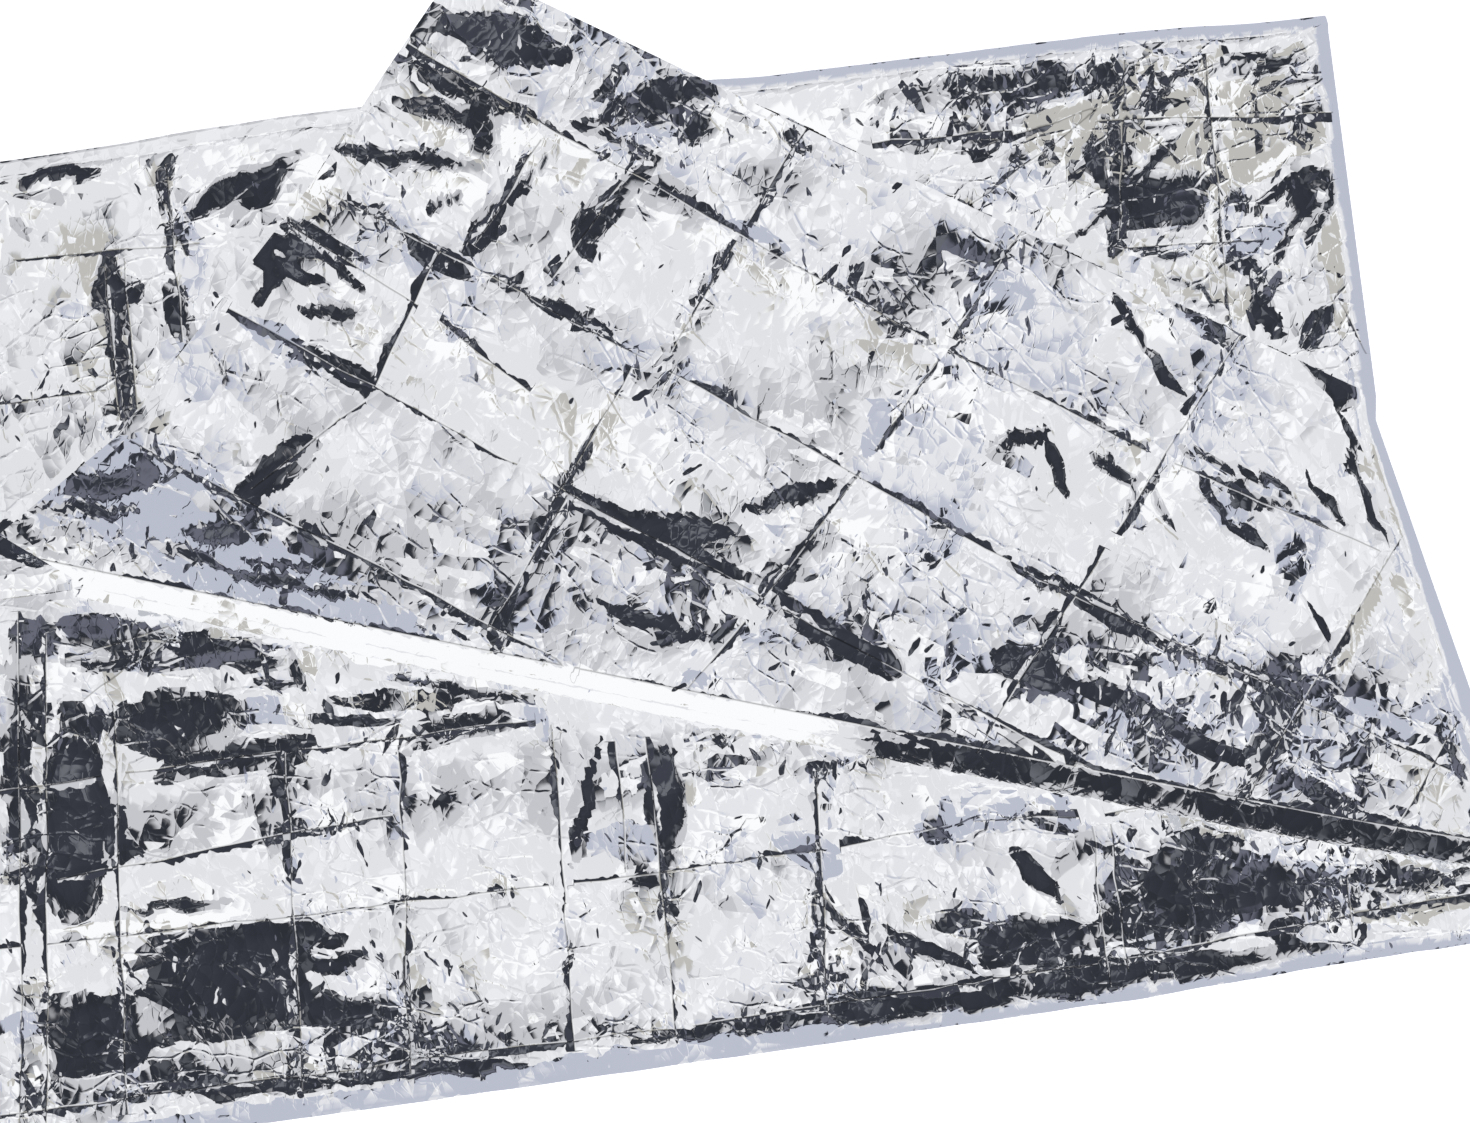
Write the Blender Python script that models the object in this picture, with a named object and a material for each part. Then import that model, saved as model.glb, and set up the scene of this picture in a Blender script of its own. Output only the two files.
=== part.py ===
"""Emergency foil blanket, partly unfolded: a long folded strip with its upper layer turned back.

The sheet is worked out flat, in the plane of the strip's upper layer, and then folded:
  underfold -> bottom fold -> lower panel -> top fold -> upper layer -> slanting fold -> flap.
One solid sheet stands for the two touching plies of film. Lengths are in millimetres until
the mesh is made. +X runs along the strip, +Y across it, +Z up, and the lowest layer is at Z = 0.
"""

import math

import bmesh
import bpy
from mathutils import Matrix, Vector

MM = 0.001

# Sheet
BLANKET_WIDTH = 1300.0
BLANKET_LENGTH = 2100.0
CREASE_CELLS = 16
CELL_ACROSS = BLANKET_WIDTH / CREASE_CELLS
CELL_ALONG = BLANKET_LENGTH / CREASE_CELLS
STRIP_LENGTH = BLANKET_LENGTH / 2
SHEET_THICKNESS = 2.4
LAYER_PITCH = 4.4
MESH_STEP = 31.0

# Folds of the strip
PANEL_WIDTH = 508.0
UNDERFOLD_WIDTH = 126.0
EDGE_BEND = 5.0
EDGE_EASE = 55.0
TOP_FOLD_Y = PANEL_WIDTH / 2
BOTTOM_FOLD_Y = TOP_FOLD_Y + PANEL_WIDTH
UNDERFOLD_END_Y = BOTTOM_FOLD_Y + UNDERFOLD_WIDTH
FREE_BORDER_Y = UNDERFOLD_END_Y - BLANKET_WIDTH

# The slanting fold, along which the upper layer is turned back
SLANT_ANGLE = math.radians(-18.8)
SLANT_CROSSING_Y = -82.0
SLANT_BEND = 7.5
SLANT_EASE = 90.0
BEND_STEPS = 5

# Ends of the strip
RIGHT_END_X = 344.0
RIGHT_FLARE_Y = 28.0
RIGHT_FLARE = 52.0 / 277.0
LEFT_END_X = RIGHT_END_X + 46.0 - STRIP_LENGTH
END_INSET = 14.0
UNDERFOLD_INSET = 17.0
END_INSET_Y = 45.0
END_INSET_EASE = 30.0
UPPER_OUTSET = 10.0
UPPER_OUTSET_Y = -200.0
UPPER_OUTSET_EASE = 80.0
END_ROLL = 14.0
END_ROLL_STEPS = (2.0, 5.0, 9.0, 14.0)
END_ROLL_GAP = 0.6
FLAP_END_TURN = (387.0, -237.0)
FLAP_CORNER_X = 183.0
BORDER_SKEW = 45.0
TAPER = 0.045
EDGE_DRAWS = (
    # side, inwards, from_x, to_x: how far the strip's long edges draw in from straight
    (1.0, 9.0, -100.0, 50.0),
    (1.0, 6.0, -180.0, -360.0),
    (1.0, 4.0, 230.0, 330.0),
    (-1.0, 3.0, 2000.0, 1000.0),
    (-1.0, 4.0, 150.0, 310.0),
)
EDGE_DRAW_REACH = {1.0: 159.0, -1.0: 89.0}

# Left of the flap the upper layer stops at its own rolled border
NOTCH_X = -345.0
LEFT_BORDER_Y = 30.0
FLAP_LEFT = (
    # y_top, x_top, y_bottom, x_bottom
    (12.0, -396.0, -62.0, -369.0),
    (-62.0, -369.0, -226.0, -347.0),
    (-226.0, -347.0, FREE_BORDER_Y, -336.0),
)

# Puffed cells between the creases: tallest puff and where the crease grid starts, for each layer
PUFFS = {
    # layer: (height, grid_x, grid_y, seed)
    "lower": (2.5, 36.0, 10.0, 1.0),
    "upper": (3.0, 10.0, 54.0, 2.0),
    "flap": (3.5, 60.0, 9.0, 3.0),
}

# Main ridges, on the layer's own flat sheet
RIDGES = (
    # layer, x1, y1, x2, y2, height, half_width
    ("lower", -420.0, 20.0, -330.0, 0.0, 4.0, 30.0),
    ("lower", -58.0, -90.0, -44.0, -240.0, 2.5, 26.0),
    ("lower", 165.0, -160.0, 176.0, -245.0, 3.0, 28.0),
    ("upper", -300.0, 245.0, -270.0, 60.0, 3.5, 28.0),
    ("upper", 205.0, 200.0, 290.0, 230.0, 4.0, 30.0),
    ("upper", 215.0, 215.0, 250.0, 80.0, 3.5, 26.0),
    ("flap", -335.0, -316.0, 210.0, -322.0, 3.0, 24.0),
    ("flap", -345.0, -200.0, 40.0, -230.0, 3.0, 26.0),
    ("flap", -60.0, -80.0, -20.0, -380.0, 3.0, 26.0),
    ("flap", 150.0, -150.0, 165.0, -330.0, 3.0, 26.0),
)


def smooth(value):
    """Ease from 0 to 1."""
    value = min(max(value, 0.0), 1.0)
    return value * value * (3.0 - 2.0 * value)


def uneven(i, j, seed):
    """A fixed uneven amount between 0.3 and 1 for one cell of the crease grid."""
    value = math.sin(i * 12.9898 + j * 78.233 + seed * 37.719) * 43758.5453
    return 0.3 + 0.7 * (value - math.floor(value))


def puff(layer, x, y):
    """Height of the puffed cell at a point of the layer's flat sheet, zero along its creases."""
    height, grid_x, grid_y, seed = PUFFS[layer]
    across = (y - grid_y) / CELL_ACROSS
    along = (x - grid_x) / CELL_ALONG
    swell = math.sin(math.pi * across) ** 2 * math.sin(math.pi * along) ** 2
    return height * uneven(math.floor(along), math.floor(across), seed) * swell


def ridge(x, y, x1, y1, x2, y2, height, half_width):
    """Height of one soft ridge that runs from (x1, y1) to (x2, y2)."""
    run_x, run_y = x2 - x1, y2 - y1
    length = math.hypot(run_x, run_y)
    along = ((x - x1) * run_x + (y - y1) * run_y) / length
    away = abs((x - x1) * run_y - (y - y1) * run_x) / length
    ends = smooth(along / half_width) * smooth((length - along) / half_width)
    return height * ends * math.exp(-(away / half_width) ** 2)


def relief(layer, x, y):
    """Puffs and main ridges of one layer together."""
    ridges = sum(ridge(x, y, *row[1:]) for row in RIDGES if row[0] == layer)
    return puff(layer, x, y) + ridges


def separation(distance, bend, ease):
    """How far the layer after a fold stands over the layer before it, at a distance from the fold."""
    return LAYER_PITCH + (2.0 * bend - LAYER_PITCH) * (1.0 - smooth(distance / ease))


def end_x(y):
    """The strip's right-hand outline, which flares below the middle."""
    return RIGHT_END_X + max(RIGHT_FLARE_Y - y, 0.0) * RIGHT_FLARE


def slant_frame(x, y):
    """A point as (distance along the slanting fold, distance past it)."""
    y = y - SLANT_CROSSING_Y
    along = x * math.cos(SLANT_ANGLE) + y * math.sin(SLANT_ANGLE)
    past = x * math.sin(SLANT_ANGLE) - y * math.cos(SLANT_ANGLE)
    return along, past


def from_slant_frame(along, past):
    x = along * math.cos(SLANT_ANGLE) + past * math.sin(SLANT_ANGLE)
    y = along * math.sin(SLANT_ANGLE) - past * math.cos(SLANT_ANGLE)
    return x, y + SLANT_CROSSING_Y


def lower_height(x, y):
    """Mid-height of the lower panel, which steps down to the table past the underfold."""
    from_fold = y + TOP_FOLD_Y
    over_underfold = separation(from_fold, EDGE_BEND, EDGE_EASE)
    over_underfold *= 1.0 - smooth((from_fold - UNDERFOLD_WIDTH) / EDGE_EASE)
    near_folds = smooth(from_fold / EDGE_EASE) * smooth((TOP_FOLD_Y - y) / EDGE_EASE)
    return SHEET_THICKNESS / 2 + over_underfold + near_folds * relief("lower", x, y)


def upper_height(x, y):
    """Mid-height of the upper layer, on the lower panel."""
    from_fold = TOP_FOLD_Y - y
    height = lower_height(x, min(y, TOP_FOLD_Y)) + separation(from_fold, EDGE_BEND, EDGE_EASE)
    return height + smooth(from_fold / EDGE_EASE) * relief("upper", x, y)


def flap_height(x, y, flat_x, flat_y, from_slant):
    """Mid-height of the flap: over the upper layer, and sinking where it hangs past the strip."""
    past_strip = smooth((y - TOP_FOLD_Y - EDGE_BEND) / (1.5 * EDGE_EASE))
    support = upper_height(x, y) * (1.0 - past_strip) + SHEET_THICKNESS * past_strip
    height = support + separation(from_slant, SLANT_BEND, SLANT_EASE)
    return height + smooth(from_slant / SLANT_EASE) * relief("flap", flat_x, flat_y)


def roll_end(x, y, height):
    """Lets a layer round down to the table at the strip's right-hand end."""
    inside = min(max(end_x(y) - x, 0.0), END_ROLL)
    drop = 1.0 - inside / END_ROLL
    low = SHEET_THICKNESS / 2 + END_ROLL_GAP
    return low + (height - low) * math.sqrt(max(1.0 - drop * drop, 0.0))


def fold_under_strip(x, y):
    """The lower panel, the bottom fold and the underfold, from a point past the top fold."""
    past_top = y - TOP_FOLD_Y
    turn = min(past_top / EDGE_BEND, math.pi)
    if turn < math.pi:
        base = lower_height(x, TOP_FOLD_Y)
        return x, TOP_FOLD_Y + EDGE_BEND * math.sin(turn), base + EDGE_BEND * (1.0 + math.cos(turn))
    plan_y = TOP_FOLD_Y - (past_top - math.pi * EDGE_BEND)
    past_bottom = -TOP_FOLD_Y - plan_y
    if past_bottom <= 0.0:
        return x, plan_y, lower_height(x, plan_y)
    turn = min(past_bottom / EDGE_BEND, math.pi)
    inward = past_bottom - math.pi * EDGE_BEND if turn == math.pi else -EDGE_BEND * math.sin(turn)
    height = lower_height(x, -TOP_FOLD_Y) - EDGE_BEND * (1.0 - math.cos(turn))
    return x, -TOP_FOLD_Y + inward, max(height, SHEET_THICKNESS / 2)


def fold_flap_over(x, y):
    """The slanting fold and the flap, from a point past the fold."""
    along, past = slant_frame(x, y)
    turn = min(past / SLANT_BEND, math.pi)
    if turn < math.pi:
        line_x, line_y = from_slant_frame(along, 0.0)
        plan_x, plan_y = from_slant_frame(along, SLANT_BEND * math.sin(turn))
        height = upper_height(line_x, line_y) + SLANT_BEND * (1.0 - math.cos(turn))
        return plan_x, plan_y, roll_end(plan_x, plan_y, height)
    from_slant = past - math.pi * SLANT_BEND
    plan_x, plan_y = from_slant_frame(along, -from_slant)
    height = flap_height(plan_x, plan_y, x, y, from_slant)
    return plan_x, plan_y, roll_end(plan_x, plan_y, height)


def drawn_in(x, y):
    """The strip's long edges draw in a little from straight."""
    side = 1.0 if y > 0.0 else -1.0
    inwards = 0.0
    for edge, amount, from_x, to_x in EDGE_DRAWS:
        if edge == side:
            inwards += amount * smooth((x - from_x) / (to_x - from_x))
    past = side * y - TOP_FOLD_Y - EDGE_BEND
    return y - side * inwards * smooth(1.0 + past / EDGE_DRAW_REACH[side])


def folded(x, y):
    """Where a point of the flat sheet comes to lie."""
    on_flap = slant_frame(x, y)[1] >= math.pi * SLANT_BEND
    if y > TOP_FOLD_Y:
        on_flap = False
        place = fold_under_strip(x, y)
    elif slant_frame(x, y)[1] > 0.0 and (x > NOTCH_X - 1.0 or y < LEFT_BORDER_Y - 1.0):
        place = fold_flap_over(x, y)
    else:
        place = (x, y, roll_end(x, y, upper_height(x, y)))
    across = place[1] if on_flap and place[1] > 0.0 else drawn_in(place[0], place[1])
    across *= 1.0 - TAPER * place[0] / STRIP_LENGTH
    return Vector((place[0], across, place[2])) * MM


def flat_end_x(y):
    """Right-hand outline of the flat sheet, at a height y on it."""
    if y > BOTTOM_FOLD_Y:
        return end_x(y - BOTTOM_FOLD_Y - TOP_FOLD_Y) - UNDERFOLD_INSET
    if y > TOP_FOLD_Y:
        return end_x(2.0 * TOP_FOLD_Y - y) - END_INSET * smooth((y - TOP_FOLD_Y) / EDGE_EASE)
    turn_x, turn_y = FLAP_END_TURN
    if y > turn_y:
        inset = END_INSET - UPPER_OUTSET * smooth((y - UPPER_OUTSET_Y) / UPPER_OUTSET_EASE)
        return end_x(y) - inset * smooth((END_INSET_Y - y) / END_INSET_EASE)
    share = (turn_y - y) / (turn_y - FREE_BORDER_Y)
    return turn_x + (FLAP_CORNER_X - turn_x) * share


def cut(bm, x, y, direction, faces=None):
    """Divides the flat sheet, or some of its faces, along a straight line."""
    chosen = faces if faces is not None else bm.faces[:]
    edges = {edge for face in chosen for edge in face.edges}
    verts = {vert for face in chosen for vert in face.verts}
    normal = Vector((-direction[1], direction[0], 0.0))
    geom = list(verts) + list(edges) + list(chosen)
    bmesh.ops.bisect_plane(bm, geom=geom, dist=0.3, plane_co=(x, y, 0.0), plane_no=normal)


def faces_where(bm, test):
    return [face for face in bm.faces if test(*face.calc_center_median()[:2])]


def drop_faces(bm, test):
    bmesh.ops.delete(bm, geom=faces_where(bm, test), context="FACES")


def flat_sheet():
    """The flat sheet with a vertex row along every bend and its two cut-back corners left out."""
    bm = bmesh.new()
    width = RIGHT_END_X - LEFT_END_X
    height = UNDERFOLD_END_Y - FREE_BORDER_Y
    columns = round(width / MESH_STEP)
    rows = round(height / MESH_STEP)
    bmesh.ops.create_grid(bm, x_segments=columns, y_segments=rows, size=0.5)
    bmesh.ops.scale(bm, vec=(width, height, 1.0), verts=bm.verts)
    centre = ((RIGHT_END_X + LEFT_END_X) / 2, (UNDERFOLD_END_Y + FREE_BORDER_Y) / 2, 0.0)
    bmesh.ops.translate(bm, vec=centre, verts=bm.verts)
    for step in END_ROLL_STEPS:
        cut(bm, RIGHT_END_X - step, 0.0, (0.0, 1.0))
    for step in range(BEND_STEPS + 1):
        wrapped = math.pi * EDGE_BEND * step / BEND_STEPS
        cut(bm, 0.0, TOP_FOLD_Y + wrapped, (1.0, 0.0))
        cut(bm, 0.0, BOTTOM_FOLD_Y + math.pi * EDGE_BEND + wrapped, (1.0, 0.0))
    for vert in bm.verts:
        share = (vert.co.x - LEFT_END_X) / width
        vert.co.x += (flat_end_x(vert.co.y) - RIGHT_END_X) * share ** 3
    return bm


def cut_flap(bm):
    """Vertex rows round the slanting fold, and the flap's own left-hand border."""
    direction = (math.cos(SLANT_ANGLE), math.sin(SLANT_ANGLE))
    for step in range(BEND_STEPS + 1):
        past = math.pi * SLANT_BEND * step / BEND_STEPS
        x, y = from_slant_frame(0.0, past)
        near = faces_where(bm, lambda fx, fy: fy < TOP_FOLD_Y and fx > NOTCH_X - 2 * MESH_STEP)
        cut(bm, x, y, direction, near)
    left_part = faces_where(bm, lambda fx, fy: fy < TOP_FOLD_Y and fx < NOTCH_X + 2 * MESH_STEP)
    cut(bm, NOTCH_X, 0.0, (0.0, 1.0), left_part)
    left_part = faces_where(bm, lambda fx, fy: fy < TOP_FOLD_Y and fx < NOTCH_X)
    cut(bm, 0.0, LEFT_BORDER_Y, (1.0, 0.0), left_part)
    for y_top, x_top, y_bottom, x_bottom in FLAP_LEFT:
        below = faces_where(bm, lambda fx, fy: fy < LEFT_BORDER_Y and fx < x_bottom + MESH_STEP)
        cut(bm, 0.0, y_top, (1.0, 0.0), below)
        band = faces_where(bm, lambda fx, fy: y_bottom - MESH_STEP < fy < y_top
                           and fx < x_bottom + 2 * MESH_STEP)
        cut(bm, x_top, y_top, (x_bottom - x_top, y_bottom - y_top), band)
    drop_faces(bm, left_of_flap)
    skew = (FLAP_CORNER_X - FLAP_LEFT[-1][3], -BORDER_SKEW)
    border = faces_where(bm, lambda fx, fy: fy < FREE_BORDER_Y + BORDER_SKEW + MESH_STEP)
    cut(bm, FLAP_CORNER_X, FREE_BORDER_Y, skew, border)
    drop_faces(bm, lambda fx, fy: fy < FREE_BORDER_Y + (FLAP_CORNER_X - fx) * -skew[1] / skew[0])


def left_of_flap(x, y):
    """True for the part of the flat sheet that is cut back beside the flap."""
    if x > NOTCH_X and y > FLAP_LEFT[0][0]:
        return False
    if FLAP_LEFT[0][0] < y < LEFT_BORDER_Y:
        return True
    for y_top, x_top, y_bottom, x_bottom in FLAP_LEFT:
        if y_bottom < y < y_top:
            share = (y_top - y) / (y_top - y_bottom)
            return x < x_top + (x_bottom - x_top) * share
    return False


def foil_material():
    material = bpy.data.materials.new("silver_film")
    material.use_nodes = True
    shader = material.node_tree.nodes["Principled BSDF"]
    shader.inputs["Base Color"].default_value = (0.86, 0.87, 0.89, 1.0)
    shader.inputs["Metallic"].default_value = 1.0
    shader.inputs["Roughness"].default_value = 0.12
    return material


def centre_footprint(blanket):
    """Moves the mesh so that the finished solid's footprint is centred on the origin."""
    solid = blanket.evaluated_get(bpy.context.evaluated_depsgraph_get())
    corners = [Vector(corner) for corner in solid.bound_box]
    middle = (corners[0] + corners[6]) / 2
    blanket.data.transform(Matrix.Translation((-middle.x, -middle.y, 0.0)))


def foil_blanket():
    """The folded sheet as one solid."""
    bm = flat_sheet()
    cut_flap(bm)
    bmesh.ops.dissolve_degenerate(bm, dist=0.5, edges=bm.edges)
    bmesh.ops.triangulate(bm, faces=bm.faces)
    for vert in bm.verts:
        vert.co = folded(vert.co.x, vert.co.y)
    bmesh.ops.recalc_face_normals(bm, faces=bm.faces)
    mesh = bpy.data.meshes.new("foil_blanket")
    bm.to_mesh(mesh)
    bm.free()
    mesh.materials.append(foil_material())
    blanket = bpy.data.objects.new("foil_blanket", mesh)
    bpy.context.collection.objects.link(blanket)
    shell = blanket.modifiers.new("sheet thickness", "SOLIDIFY")
    shell.thickness = SHEET_THICKNESS * MM
    shell.offset = 0.0
    centre_footprint(blanket)
    return blanket


for old in list(bpy.data.objects):
    bpy.data.objects.remove(old, do_unlink=True)
foil_blanket()
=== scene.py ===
import math

import bmesh
import bpy
import numpy as np
from mathutils import Matrix, Vector


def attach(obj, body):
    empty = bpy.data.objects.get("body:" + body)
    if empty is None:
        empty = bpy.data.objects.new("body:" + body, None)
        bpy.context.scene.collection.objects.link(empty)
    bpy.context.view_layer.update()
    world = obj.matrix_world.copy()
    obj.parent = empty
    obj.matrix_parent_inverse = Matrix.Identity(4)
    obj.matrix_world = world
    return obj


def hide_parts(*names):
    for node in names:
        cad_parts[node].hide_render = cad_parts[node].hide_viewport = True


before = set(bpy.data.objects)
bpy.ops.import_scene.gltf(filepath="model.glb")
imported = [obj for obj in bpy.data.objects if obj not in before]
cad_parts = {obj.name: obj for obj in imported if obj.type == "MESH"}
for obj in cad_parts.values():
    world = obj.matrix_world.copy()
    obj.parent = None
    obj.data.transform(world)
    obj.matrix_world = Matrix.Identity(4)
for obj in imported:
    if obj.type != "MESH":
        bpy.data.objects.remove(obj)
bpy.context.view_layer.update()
mm = 0.001

# the film's cut size and its folds, in millimetres on the flat sheet
film = {
    "width": 1300.0,
    "length": 2100.0,
    "cells": 16,            # creases from the pack, each way
    "plyGap": 0.6,          # half the distance between the two plies
    "layerPitch": 4.4,
    "coarseStep": 13.0,     # mesh step of the hidden plies
    "fineCuts": 3,          # extra cuts where a ply is seen
    "cutReach": 20.0,       # how far past a border its cut reaches
    "fineMargin": 16.0,     # how far under a neighbour a ply is still cut finely,
    "seenMargin": 8.0,      # and still has its relief
    "lift": 0.6,            # how far a seen ply stands off besides,
    "panelLift": 2.6,       # and on the lower panel
    "calmNear": 14.0,       # this close to the slanting bend the relief fades out
    "endShare": 0.25,       # how much of a rise is left at the right-hand end
    "leastZ": 0.25,         # the lowest point's height over the table
}
farAway = 40.0              # a distance at which no crease or edge is near
markDefaults = {"longAway": farAway, "longNear": farAway, "crossAway": farAway, "crossNear": farAway,
                "crumpled": 0.6, "leanX": 0.0, "leanY": 0.0}
cellAcross = film["width"] / film["cells"]
cellAlong = film["length"] / film["cells"]

folds = {
    "panel": 508.0,         # between the two long folds
    "underfold": 126.0,
    "bend": 5.0,
    "ease": 55.0,
    "slantAngle": math.radians(-18.8),
    "slantY": -82.0,        # where the slanting fold crosses X = 0
    "slantBend": 7.5,
    "slantEase": 90.0,
}
topY = folds["panel"] / 2
bottomY = topY + folds["panel"]
endY = bottomY + folds["underfold"]
borderY = endY - film["width"]
slantCos, slantSin = math.cos(folds["slantAngle"]), math.sin(folds["slantAngle"])
tableZ = 1.2                # mid-height of a layer that lies on the table

ends = {
    "rightX": 344.0,
    "pastRight": 46.0,      # how much of the half length lies past rightX, in the flare
    "flareY": 28.0,
    "flare": 52.0 / 277.0,
    "inset": 14.0,          # how far the layers below the upper one stand back
    "insetY": 45.0,
    "insetEase": 30.0,
    "underInset": 16.8,
    "roll": 14.0,           # the last stretch, which rounds down to the table
    "rollGap": 0.6,
    "flapTurn": (387.0, -237.0),
    "flapCornerX": 183.0,
    "borderSkew": 45.0,
    "taper": 0.045,
    "outset": 10.0,         # how far the upper layer reaches out again above outsetY
    "outsetY": -200.0,
    "outsetEase": 80.0,
    "notchX": -345.0,
    "leftBorderY": 30.0,
    # the flap's left border: yTop, xTop, yBottom, xBottom
    "flapLeft": ((12.0, -396.0, -62.0, -369.0),
                 (-62.0, -369.0, -226.0, -347.0),
                 (-226.0, -347.0, borderY, -336.0)),
}
leftX = ends["rightX"] + ends["pastRight"] - film["length"] / 2
borderRun = ends["flapCornerX"] - ends["flapLeft"][-1][3]
edgeDraws = {  # side: rows of (inwards, fromX, toX), how far the long edges draw in from straight
    1.0: ((9.0, -100.0, 50.0), (6.0, -180.0, -360.0), (4.0, 230.0, 330.0)),
    -1.0: ((3.0, 2000.0, 1000.0), (4.0, 150.0, 310.0)),
}
edgeReach = {1.0: 159.0, -1.0: 89.0}


def ease(t):
    t = np.clip(t, 0.0, 1.0)
    return t * t * (3.0 - 2.0 * t)


def randomAt(i, j, seed):  # a fixed number from 0 to 1 for each lattice point
    value = np.sin(i * 12.9898 + j * 78.233 + seed * 37.719) * 43758.5453
    return value - np.floor(value)


def latticeFacets(x, y, size, seed):  # random heights on a triangle lattice, joined by flat facets
    skew = (x + y) * 0.3660254 / size
    gx, gy = x / size + skew, y / size + skew
    i, j = np.floor(gx), np.floor(gy)
    fx, fy = gx - i, gy - j
    corner = randomAt(i, j, seed)
    far = randomAt(i + 1, j + 1, seed)
    side = np.where(fx > fy, randomAt(i + 1, j, seed), randomAt(i, j + 1, seed))
    big, small = np.maximum(fx, fy), np.minimum(fx, fy)
    return (corner * (1.0 - big) + side * (big - small) + far * small) * 2.0 - 1.0


def facets(x, y, size, seed):  # uneven facets, as in crumpled film
    warp, wide = 0.75, 1.9
    wx = x + size * warp * latticeFacets(x, y, size * wide, seed + 5)
    wy = y + size * warp * latticeFacets(x, y, size * wide, seed + 9)
    return latticeFacets(wx, wy, size, seed)


def patches(x, y, size, seed, level):  # 1 in uneven patches, 0 between them
    return ease((facets(x, y, size, seed) - level) / 0.5)


# big relief: puffed cells and main ridges
puffs = {  # layer: (height, gridX, gridY, seed)
    "lower": (1.6, 36.0, 10.0, 1.0),
    "upper": (1.9, 10.0, 54.0, 2.0),
    "flap": (2.1, 60.0, 9.0, 3.0),
}
ridges = {  # layer: rows of (x1, y1, x2, y2, height, halfWidth)
    "lower": (
        (-420, 20, -330, 0, 4, 30), (-58, -90, -44, -240, 2.5, 26), (165, -160, 176, -245, 3, 28),
    ),
    "upper": (
        (-300, 245, -270, 60, 3.5, 28), (205, 200, 290, 230, 4, 30), (215, 215, 250, 80, 3.5, 26),
    ),
    "flap": (
        (-335, -316, 210, -322, 3, 24), (-345, -200, 40, -230, 3, 26), (-60, -80, -20, -380, 3, 26),
        (150, -150, 165, -330, 3, 26),
    ),
}


def lineFrame(x, y, x1, y1, x2, y2):  # how far along a line and how far beside it
    runX, runY = x2 - x1, y2 - y1
    length = math.hypot(runX, runY)
    along = ((x - x1) * runX + (y - y1) * runY) / length
    beside = ((x - x1) * runY - (y - y1) * runX) / length
    return along, beside, length


def bigRelief(layer, x, y):
    height, gridX, gridY, seed = puffs[layer]
    across, along = (y - gridY) / cellAcross, (x - gridX) / cellAlong
    share = 0.3 + 0.7 * randomAt(np.floor(along), np.floor(across), seed)
    total = height * share * np.sin(np.pi * across) ** 2 * np.sin(np.pi * along) ** 2
    for x1, y1, x2, y2, height, half in ridges[layer]:
        run, beside, length = lineFrame(x, y, x1, y1, x2, y2)
        stretch = ease(run / half) * ease((length - run) / half)
        total = total + height * stretch * np.exp(-(beside / half) ** 2)
    return total


def drawnIn(x, y, onFlap):  # the strip's long edges, a little in from straight
    moved = y.copy()
    for side, rows in edgeDraws.items():
        inwards = sum(amount * ease((x - fromX) / (toX - fromX)) for amount, fromX, toX in rows)
        share = ease(1.0 + (side * y - topY - folds["bend"]) / edgeReach[side])
        moved -= np.where((side * y > 0.0) & ~(onFlap & (y > 0.0)), side * inwards * share, 0.0)
    return moved


def separation(distance, bend, easing):
    return film["layerPitch"] + (2.0 * bend - film["layerPitch"]) * (1.0 - ease(distance / easing))


def endX(y):  # the strip's right-hand outline
    return ends["rightX"] + np.maximum(ends["flareY"] - y, 0.0) * ends["flare"]


def slantFrame(x, y):  # distance along the slanting fold and distance past it
    y = y - folds["slantY"]
    return x * slantCos + y * slantSin, x * slantSin - y * slantCos


def fromSlantFrame(along, past):
    return along * slantCos + past * slantSin, along * slantSin - past * slantCos + folds["slantY"]


def lowerHeight(x, y):
    fromFold = y + topY
    over = separation(fromFold, folds["bend"], folds["ease"])
    over = over * (1.0 - ease((fromFold - folds["underfold"]) / folds["ease"]))
    near = ease(fromFold / folds["ease"]) * ease((topY - y) / folds["ease"])
    return tableZ + over + near * bigRelief("lower", x, y)


def upperHeight(x, y):
    fromFold = topY - y
    height = lowerHeight(x, np.minimum(y, topY)) + separation(fromFold, folds["bend"], folds["ease"])
    return height + ease(fromFold / folds["ease"]) * bigRelief("upper", x, y)


def flapHeight(x, y, flatX, flatY, fromSlant):
    pastStrip = ease((y - topY - folds["bend"]) / (1.5 * folds["ease"]))
    support = upperHeight(x, y) * (1.0 - pastStrip) + 2.0 * tableZ * pastStrip
    height = support + separation(fromSlant, folds["slantBend"], folds["slantEase"])
    return height + ease(fromSlant / folds["slantEase"]) * bigRelief("flap", flatX, flatY)


def rollEnd(x, y, height):  # a layer rounds down to the table at the right-hand end
    drop = 1.0 - np.clip(endX(y) - x, 0.0, ends["roll"]) / ends["roll"]
    low = tableZ + ends["rollGap"]
    return low + (height - low) * np.sqrt(np.maximum(1.0 - drop * drop, 0.0))


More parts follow.
